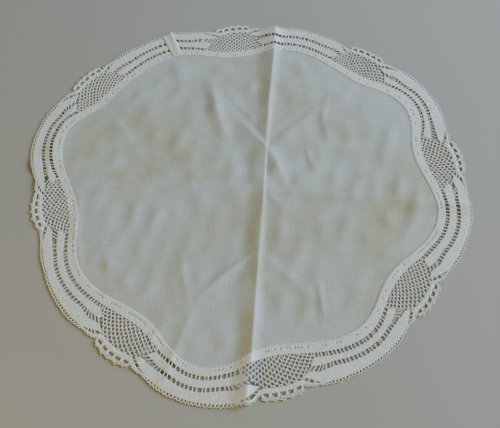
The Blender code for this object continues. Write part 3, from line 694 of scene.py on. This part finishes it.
def middle_bands():
    """The middle band, one length from each oval to the next with slanted ends."""
    parts = []
    for near, far in zip(MOTIF_AT, NEXT_MOTIF_AT):
        distance = np.arange(near + BAND_END, far - BAND_END, BRAID_ROW)
        _, inner, outer, *_ = band_edges(distance)
        from_near, from_far = distance - near - BAND_END, far - BAND_END - distance
        end = np.clip(1 - np.minimum(from_near, from_far) / BAND_END_ROUND, 0, 1)
        middle, half = (inner + outer) / 2, (outer - inner) / 2
        half = half * np.maximum(np.sqrt(1 - end**2), BAND_TIP)
        outs = across(middle - half, middle + half, MIDDLE_SHARES)
        lean = ease(1 - from_near / BAND_LEAN_RUN) - ease(1 - from_far / BAND_LEAN_RUN)
        slanted = distance[:, None] - BAND_END_LEAN * lean[:, None] * (outs - middle[:, None])
        parts.append(band(slanted, outs))
    return parts


def cloth_stitch_material():
    material, tree, shader, places = fibre_material("lace_cloth_stitch", roughness=0.82, sheen=0.1)
    weave = weave_node(tree, places["UV"], BRAID_THREADS)
    tone = tone_node(tree, places["Object"], BRAID_PLAIN, BRAID_AGED, scale=14.0, amount=0.7)
    # Painted shade: the weave's low places, between the threads, are coloured down to 0.62 of the
    # tone, as the shade that falls there.
    painted_weave_shade = range_node(tree, weave, limits=(0, 0.5), mapped=(0.62, 1))
    flecks = noise_node(tree, places["UV"], 430.0, Detail=1.0)
    pale = range_node(tree, flecks, limits=(0.3, 0.7), mapped=(0.84, 1.1))
    add_colour(tree, shader, tone, value_node(tree, "MULTIPLY", painted_weave_shade, pale))
    relief = value_node(tree, "MULTIPLY_ADD", flecks, BRAID_RELIEF, weave)
    add_bump(tree, shader, relief, distance=0.00025, strength=0.8)
    return material


CLOTH_STITCH = cloth_stitch_material()


def lace_bands():
    parts = [footside_band(), outer_band()] + middle_bands()
    points, faces, uv = zip(*parts)
    starts = np.cumsum([0] + [len(part) for part in points])
    faces = np.concatenate([part + start for part, start in zip(faces, starts)])
    points, uv = np.concatenate(points), np.concatenate(uv)
    return soft_sheet("lace_bands", points, faces, BRAID_HALF, CLOTH_STITCH, uv)


bands = lace_bands()
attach(bands, "root")
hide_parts("lace_border")

# ==== Lace: threads, ladders
# Between the bands, pairs of thread are twisted into bars. Beside an oval the slots
# are longer, and their bars lean in towards its head.

UP = np.array((0.0, 0.0, 1.0))
THREAD_RADIUS, THREAD_SIDES = 0.36, 6
THREAD_PLAIN, THREAD_AGED = (0.87, 0.875, 0.855), (0.81, 0.81, 0.75)
INNER_LADDER_LEAN, OUTER_LADDER_LEAN = 0.25, 0.9
BAR_ROOT, BAR_POINTS = 0.7, 7  # a bar reaches this far into the bands
NO_BARS_BEFORE, NO_BARS_AFTER = 11.0, 1.0  # distances from the join, under its lap
BARS_AT_NET = np.array((1, 2))  # the outer ladder runs on by these beside an oval
# Where a bar is missing, so that two slots are one: the number of the oval, counted
# from 0, and the place along from it.
INNER_MISSING = ((1, -38.5),)
OUTER_MISSING = ((2, 35.5), (3, -41.0), (3, 42.0), (6, -44.5), (6, 39.5))
FAN_GAP_BARS = ((21.6, 26.4, 29.2, 31.8), (22.2, 25.2, 29.9, 32.4))
FAN_BAR_UNEVEN, FAN_BAR_ROOT = 0.35, 0.6
FAN_BAR_LEAN, FAN_BAR_LEAST, FAN_BARS_END, FAN_BARS_RUN = 1.9, 0.3, 36, 12


def unit(vectors):
    return vectors / np.linalg.norm(vectors, axis=-1, keepdims=True)


def path_frame(paths, looped=False):
    """Directions along, to the side of and up from each path."""
    if looped:
        run = np.roll(paths, -1, axis=1) - np.roll(paths, 1, axis=1)
    else:
        run = np.gradient(paths, axis=1)
    run = unit(run)
    side = unit(np.cross(run, UP))
    return run, side, np.cross(side, run)


def twisted(paths, strands, turns, width, depth, taper=0.0, looped=False):
    """Threads laid round each path: two twist into a cord, four plait flat."""
    share = np.linspace(0, 1, paths.shape[1], endpoint=not looped)
    angle = 2 * np.pi * (turns * share + np.arange(strands)[:, None] / strands)
    height = np.cos(angle) if strands == 2 else np.sin(2 * angle)
    spread = (1 - taper) + taper * np.sin(np.pi * share)
    _, side, up = path_frame(paths, looped)
    aside = (width * MM * spread * np.sin(angle))[None, :, :, None] * side[:, None]
    lift = (depth * MM * spread * height)[None, :, :, None] * up[:, None]
    return (paths[:, None] + aside + lift).reshape(-1, *paths.shape[1:])


def thread_mesh(paths, radius, looped=False, sides=THREAD_SIDES):
    """Round closed tubes along paths that all have the same number of points."""
    count, rings = paths.shape[:2]
    _, side, up = path_frame(paths, looped)
    turn = 2 * np.pi * np.arange(sides)[:, None] / sides
    around = np.cos(turn) * side[:, :, None] + np.sin(turn) * up[:, :, None]
    points = (paths[:, :, None] + radius * MM * around).reshape(-1, 3)
    ring = np.arange(count * rings * sides).reshape(count, rings, sides)
    following = np.roll(ring, -1, axis=1)
    if not looped:
        ring, following = ring[:, :-1], following[:, :-1]
    beside, following_beside = np.roll(ring, -1, axis=2), np.roll(following, -1, axis=2)
    walls = np.stack([ring, following, following_beside, beside], axis=-1).reshape(-1, 4)
    faces = walls.tolist()
    if not looped:
        faces += ring[:, 0].tolist() + following[:, -1, ::-1].tolist()
    return points, faces


def thread_material():
    material, tree, shader, places = fibre_material("lace_thread", roughness=0.8, sheen=0.12)
    place = places["Object"]
    tone = tone_node(tree, place, THREAD_PLAIN, THREAD_AGED, scale=14.0, amount=0.7)
    set_inputs(tree, shader, {"Base Color": tone})
    fibres = noise_node(tree, place, 3200.0, Detail=2.0)
    add_bump(tree, shader, fibres, distance=0.00012, strength=0.5)
    return material


THREAD = thread_material()


def thread_piece(name, meshes):
    """One object from several lots of thread."""
    points, faces, start = [], [], 0
    for some_points, some_faces in meshes:
        points.append(some_points)
        faces += [[corner + start for corner in face] for face in some_faces]
        start += len(some_points)
    piece = new_piece(name, np.concatenate(points), faces, THREAD)
    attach(piece, "root")
    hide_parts("lace_border")
    return piece


def straight(start, end, points):
    """Rows of values from each start to each end."""
    share = np.linspace(0, 1, points)
    return start[:, None] + (end - start)[:, None] * share


def bar_paths(bars, middle, half, lean):
    """Bars across a ladder. Near an oval their outer ends lean towards it."""
    along = from_motif(bars)[1]
    length = half + BAR_ROOT
    tip = lean * near_net(along) * np.sign(along) * length
    distance = straight(bars + tip, bars - tip, BAR_POINTS)
    return on_cloth(distance, straight(middle - length, middle + length, BAR_POINTS))


def fan_gap_bars():
    """The slanted bars of the gap on both sides of each fan."""
    bars = []
    for motif in MOTIF_AT:
        for side in (-1, 1):
            along = np.array(FAN_GAP_BARS[rng.integers(2)])
            along = along + rng.normal(0, FAN_BAR_UNEVEN, len(along))
            upright = (FAN_BARS_END - along) / FAN_BARS_RUN
            lean = FAN_BAR_LEAN * np.clip(upright, FAN_BAR_LEAST, 1)
            lower, upper = along + lean, along - lean
            low = table_at(FAN_TAIL, lower) - FAN_BAR_ROOT
            high = table_at(FAN_INNER, upper) + FAN_BAR_ROOT
            bars.append((motif + side * lower, motif + side * upper, low, high))
    starts, ends, lows, highs = np.concatenate(bars, axis=1)
    return on_cloth(straight(starts, ends, BAR_POINTS), straight(lows, highs, BAR_POINTS))


def without(bars, missing):
    """The bars but for the one nearest to each of the given places."""
    places = [MOTIF_AT[index] + along for index, along in missing]
    nearest = np.abs(np.subtract.outer(places, bars)).argmin(axis=1)
    return np.delete(bars, nearest)


def ladders():
    """Both ladders and the gaps of the fans, with no bars under the lap at the join."""
    clear = BARS[(BARS > NO_BARS_AFTER) & (BARS < LENGTH - NO_BARS_BEFORE)]
    starts = LADDER_START - LADDER_PITCH * BARS_AT_NET
    at_nets = [np.add.outer(side * starts, MOTIF_AT).ravel() for side in (-1, 1)]
    inner = without(clear, INNER_MISSING)
    outer = without(np.concatenate([clear, *at_nets]), OUTER_MISSING)
    inner = bar_paths(inner, *inner_ladder(inner), INNER_LADDER_LEAN)
    outer = bar_paths(outer, *outer_ladder(outer), OUTER_LADDER_LEAN)
    paths = np.concatenate([inner, outer, fan_gap_bars()])
    threads = twisted(paths, 2, turns=1.5, width=0.36, depth=0.3, taper=0.5)
    return thread_piece("lace_ladder_bars", [thread_mesh(threads, THREAD_RADIUS)])


bars = ladders()

# ==== Lace: ovals of net
# Each oval is filled with an open net. Twisted pairs cross at every node, over and
# under in turn, and leave tall rounded meshes between them, in rows that arch.

NET_COLUMN, NET_ROW, NET_MIDDLE = 3.2, 5.25, 24.5
NET_ARCH, NET_SPREAD = 0.0083, 0.0065
NET_UNEVEN = 0.26
NET_LEVEL, NET_BEND = 0.14, 0.92  # a pair runs level where it crosses another
NET_THREAD, NET_WIDTH, NET_DEPTH, NET_CROSSING = 0.35, 0.33, 0.2, 0.22
FINE_SIDES = 5
NET_RINGS, NET_SAMPLES, NET_LEAST = 9, 33, 5  # shorter ends of pairs are left out
NET_TUCK, NET_SIDE_TUCK = 0.6, 0.5  # the pairs run this far under the braid
NET_COLUMNS, NET_HALF_ROWS = (-13, 13), (-10, 12)
UNEVEN_NODES, UNEVEN_MIDDLE = 42, 20


def inside_net(index, along, out):
    """Whether a place is in the oval, up to the bands and bars that edge it."""
    place, after = np.abs(along), along >= 0
    shoulder = table_at(NET_SHOULDER, place)
    head = np.where(place < NET_SHOULDER[0][0], table_at(FAN_INNER, place), shoulder)
    low = ladder_at("inner", index, after) + ladder_at("half", index, after)
    high = ladder_at("outer", index, after) - OUTER_LADDER_HALF_NET
    above_middle = out - (low + high) / 2
    share = np.clip(above_middle / ((high - low) / 2), -1, 1)
    band_end = BAND_END + BAND_END_ROUND * (1 - np.sqrt(1 - share**2))
    band_end = band_end - BAND_END_LEAN * above_middle
    above = (out - high) / (NET_SHOULDER[3][1] - high)
    side = np.where(out < high, band_end, mix(NET_NECK, NET_SHOULDER_END, above))
    side = np.where(out < low, NET_SIDE, side) + NET_SIDE_TUCK
    return (out > net_foot(index, along) - NET_TUCK) & (out < head + NET_TUCK) & (place < side)


def net_node(column, row, lean, uneven):
    """Place of a node, counted from the middle of the net."""
    rise = NET_ROW * row
    along = NET_COLUMN * column * (1 + NET_SPREAD * rise) + lean * rise
    out = NET_MIDDLE + rise - NET_ARCH * along**2
    shake = uneven[column + UNEVEN_MIDDLE, np.round(2 * row).astype(int) + UNEVEN_MIDDLE]
    return along + shake[..., 0], out + shake[..., 1]


def net_strand(start, end, share):
    """Places along a pair from one node to the next, steep between the nodes."""
    bent = mix(share, ease((share - NET_LEVEL) / (1 - 2 * NET_LEVEL)), NET_BEND)
    along = start[0][:, None] + (end[0] - start[0])[:, None] * share
    return along, start[1][:, None] + (end[1] - start[1])[:, None] * bent


def net_of(index):
    """One net, its pairs laid diagonally both ways and cut off at the oval's edge."""
    lean = BEND.lean[index]
    uneven = rng.normal(0, NET_UNEVEN, (UNEVEN_NODES, UNEVEN_NODES, 2))
    columns, half_rows = np.arange(*NET_COLUMNS), np.arange(*NET_HALF_ROWS)
    columns, doubled = np.meshgrid(columns, half_rows, indexing="ij")
    odd = (columns + doubled) % 2 == 1
    column, row = columns[odd], doubled[odd] / 2
    share = np.linspace(0, 1, NET_SAMPLES)
    paths = []
    for step in (0.5, -0.5):
        start = net_node(column, row, lean, uneven)
        end = net_node(column + 1, row + step, lean, uneven)
        inside = inside_net(index, *net_strand(start, end, share))
        kept = inside.sum(axis=1) > NET_LEAST
        first = share[np.argmax(inside, axis=1)][kept]
        last = share[len(share) - 1 - np.argmax(inside[:, ::-1], axis=1)][kept]
        start, end = ([part[kept] for part in node] for node in (start, end))
        part = straight(first, last, NET_RINGS)
        along, out = net_strand(start, end, part)
        over = np.where(column[kept] % 2 == 0, 1, -1)[:, None] * np.sign(step)
        lift = NET_CROSSING * over * np.cos(np.pi * part)
        paths.append(on_cloth(MOTIF_AT[index] + along, out, lift))
    threads = twisted(np.concatenate(paths), 2, turns=1.0, width=NET_WIDTH, depth=NET_DEPTH)
    threads = thread_mesh(threads, NET_THREAD, sides=FINE_SIDES)
    return thread_piece(f"lace_net_{index + 1}", [threads])


nets = [net_of(index) for index in range(len(REPEATS))]

# ==== Lace: edge
# Five plaited loops stand on each fan, with small picots on their backs. Along the
# crowns a row of little picots edges the outer band.

LOOPS_EACH_SIDE, LOOP_FOOT, LOOP_TOP, ARCADE_FALL = 2, 45.9, 51.2, 0.0115
LOOP_SHOULDER, LOOP_ROUND, LOOP_APART, LOOP_THREAD = 0.55, 0.5, 0.35, 0.42
ARCADE_PICOTS, ARCADE_PICOT_BASE, ARCADE_PICOT_HEIGHT = 7, 51.5, 2.6
PICOTS_A_LOOP, PICOT_DROP, PICOT_SHORTER = 3, 0.7, 0.9  # lower between two loops
PICOT_HALF_WIDTH, PICOT_HEIGHT, PICOT_THREAD, LOOP_PICOT_THREAD = 1.3, 1.7, 0.45, 0.56
PICOT_ROOT, PICOT_POINT = 0.3, 1.3
PLACE_UNEVEN, LOOP_PICOT_UNEVEN = 0.15, 0.25
CROWN_PLACE_UNEVEN, CROWN_PICOT_UNEVEN = 0.12, 0.2
LOOP_TURN, PICOT_TURN = np.linspace(0, np.pi, 16), np.linspace(0, np.pi, 9)


def loop_edges():
    """The loops of the arcades: plaits bent over their holes, and their picots."""
    plaits, picots = [], []
    across_loop = np.sign(np.cos(LOOP_TURN)) * np.abs(np.cos(LOOP_TURN)) ** LOOP_SHOULDER
    loop_out = LOOP_FOOT + (LOOP_TOP - LOOP_FOOT) * np.sin(LOOP_TURN) ** LOOP_ROUND
    for motif, pitch in zip(MOTIF_AT, BEND.loop_pitch):
        for number in range(-LOOPS_EACH_SIDE, LOOPS_EACH_SIDE + 1):
            middle = number * pitch + rng.normal(0, PLACE_UNEVEN)
            along = middle - (pitch / 2 - LOOP_APART) * across_loop
            plaits.append(on_cloth(motif + along, loop_out - ARCADE_FALL * along**2))
        for number in range(-ARCADE_PICOTS, ARCADE_PICOTS + 1):
            middle = number * pitch / PICOTS_A_LOOP + rng.normal(0, PLACE_UNEVEN)
            along = middle - PICOT_HALF_WIDTH * np.cos(PICOT_TURN)
            between = abs(math.sin(math.pi * number / PICOTS_A_LOOP))
            top = ARCADE_PICOT_HEIGHT - PICOT_SHORTER * between + rng.normal(0, LOOP_PICOT_UNEVEN)
            out = ARCADE_PICOT_BASE - PICOT_DROP * between + top * np.sin(PICOT_TURN)
            picots.append(on_cloth(motif + along, out - ARCADE_FALL * along**2))
    plait = twisted(np.array(plaits), 4, turns=4.0, width=0.8, depth=0.3)
    return thread_mesh(plait, LOOP_THREAD), thread_mesh(np.array(picots), LOOP_PICOT_THREAD)


def crown_picots():
    """Small picots along the outer band, each over a pinhole."""
    middles = (ROWS[1::PINHOLE_ROWS] + BRAID_ROW / 2)[:-1]
    middles = middles[np.abs(from_motif(middles)[1]) > NET_SHOULDER[0][0]]
    middles = middles + rng.normal(0, CROWN_PLACE_UNEVEN, len(middles))
    rim = band_edges(middles)[-1]
    distance = middles[:, None] - PICOT_HALF_WIDTH * np.cos(PICOT_TURN)
    height = PICOT_HEIGHT + rng.normal(0, CROWN_PICOT_UNEVEN, len(middles))
    out = rim[:, None] - PICOT_ROOT + height[:, None] * np.sin(PICOT_TURN) ** PICOT_POINT
    return thread_mesh(on_cloth(distance, out), PICOT_THREAD, sides=FINE_SIDES)


edge_threads = thread_piece("lace_edge_loops", [*loop_edges(), crown_picots()])

# ==== Seam and join
# The footside's edge is a thick twisted cord, whipped down to the linen. The two ends
# of the strip meet in one place, under a narrow turned end that is sewn flat.

CORD_RADIUS, CORD_TWIST, CORD_TURNS = 0.24, 0.16, 420
CORD_OUT, CORD_LIFT = 0.35, -0.04
STITCH_START, STITCH_STOP, STITCH_PITCH, STITCH_THREAD = 0.8, 12, 3.3, 0.2
STITCH_IN, STITCH_OUT, STITCH_SLANT = -1.3, 2.3, 0.5
STITCH_LIFTS = np.array((-0.35, -0.1, 0.33, 0.45, 0.44, 0.38, 0.1))  # over the cord
LAP_START, LAP_END, LAP_LIFT, LAP_HALF = -11.5, 1.0, 0.62, 0.26
LAP_ROWS, LAP_FROM_SEAM, LAP_FROM_RIM = 12, 0.8, 0.3
LAP_SHARES = np.concatenate([[0, 0.012], np.linspace(0.04, 0.96, 30), [0.988, 1]])


def seam_cord():
    distance = np.arange(0, LENGTH, BRAID_ROW)[None, :]
    path = on_cloth(distance, CORD_OUT, CORD_LIFT)
    cord = twisted(path, 2, CORD_TURNS, CORD_TWIST, CORD_TWIST, looped=True)
    return thread_mesh(cord, CORD_RADIUS, looped=True)


def whip_stitches():
    """Short stitches from the linen over the cord into the footside."""
    distance = np.arange(STITCH_START, LENGTH - STITCH_STOP, STITCH_PITCH)
    share = np.linspace(0, 1, len(STITCH_LIFTS))
    distance = distance[:, None] + mix(-STITCH_SLANT, STITCH_SLANT, share)
    paths = on_cloth(distance, mix(STITCH_IN, STITCH_OUT, share), STITCH_LIFTS)
    return thread_mesh(paths, STITCH_THREAD, sides=FINE_SIDES)


seam = thread_piece("lace_seam_cord", [seam_cord(), whip_stitches()])


def join_lap():
    """The turned end that covers the join, a narrow band across the whole strip."""
    distance = np.linspace(LAP_START, LAP_END, LAP_ROWS)
    rim = band_edges(distance % LENGTH)[-1]
    outs = across(np.full(LAP_ROWS, LAP_FROM_SEAM), rim - LAP_FROM_RIM, LAP_SHARES)
    points, faces, uv = band(distance[:, None], outs, lift=LAP_LIFT)
    return soft_sheet("lace_join_lap", points, faces, LAP_HALF, CLOTH_STITCH, uv)


lap = join_lap()
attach(lap, "root")
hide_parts("lace_border")

# ==== Floor, light and camera
# A plain pale floor, a large soft window light from the right with a small one behind,
# and a weak warm light from the left.

CAMERA_AT = Vector((0.00346, -0.47520, 0.74583))
CAMERA_TARGET = Vector((0.00346, -0.03244, 0.0))
CAMERA_ROLL = math.radians(0.85)
LENS, SENSOR = 56.16, 36.0
FLOOR_SIZE, FLOOR_UNDER = 8.0, 0.0002
FLOOR_COLOUR, WORLD_COLOUR, WORLD_STRENGTH = (0.42, 0.385, 0.35), (1.0, 0.95, 0.80), 0.095


def add_floor():
    bpy.ops.mesh.primitive_plane_add(size=FLOOR_SIZE)
    floor = bpy.context.object
    floor.name = "floor"
    floor.data.transform(Matrix.Translation((0, 0, -FLOOR_UNDER)))
    material = bpy.data.materials.new("floor")
    material.use_nodes = True
    tree = material.node_tree
    inputs = {"Base Color": (*FLOOR_COLOUR, 1), "Roughness": 0.7}
    set_inputs(tree, tree.nodes["Principled BSDF"], inputs)
    floor.data.materials.append(material)


def add_area_light(name, place, size, watts, colour):
    """A square area light that faces the doily."""
    light = bpy.data.lights.new(name, "AREA")
    light.size, light.energy, light.color = size, watts, colour
    lamp = new_object(name, light)
    lamp.location = place
    lamp.rotation_euler = (-Vector(place)).to_track_quat("-Z", "Y").to_euler()


def add_camera():
    forward = (CAMERA_TARGET - CAMERA_AT).normalized()
    right = forward.cross(Vector((0, 0, 1))).normalized()
    up = right.cross(forward)
    turned = right * math.cos(CAMERA_ROLL) + up * math.sin(CAMERA_ROLL)
    up = up * math.cos(CAMERA_ROLL) - right * math.sin(CAMERA_ROLL)
    data = bpy.data.cameras.new("camera")
    data.lens, data.sensor_width, data.sensor_fit = LENS, SENSOR, "HORIZONTAL"
    data.clip_start, data.clip_end = 0.01, 50
    camera = new_object("camera", data)
    turn = Matrix((turned, up, -forward)).transposed()
    camera.matrix_world = Matrix.Translation(CAMERA_AT) @ turn.to_4x4()
    bpy.context.scene.camera = camera


add_floor()
add_area_light("window", (2.6, 0.6, 1.2), size=1.5, watts=135, colour=(0.69, 0.86, 1.0))
add_area_light("window_back", (0.3, 1.5, 0.8), size=0.8, watts=5.8, colour=(0.4, 0.72, 1.0))
add_area_light("lamp_left", (-0.95, -1.0, 0.5), size=0.8, watts=10.4, colour=(1.0, 0.76, 0.16))
add_camera()

world = bpy.data.worlds.new("studio")
world.use_nodes = True
background = world.node_tree.nodes["Background"]
glow = {"Color": (*WORLD_COLOUR, 1), "Strength": WORLD_STRENGTH}
set_inputs(world.node_tree, background, glow)
bpy.context.scene.world = world
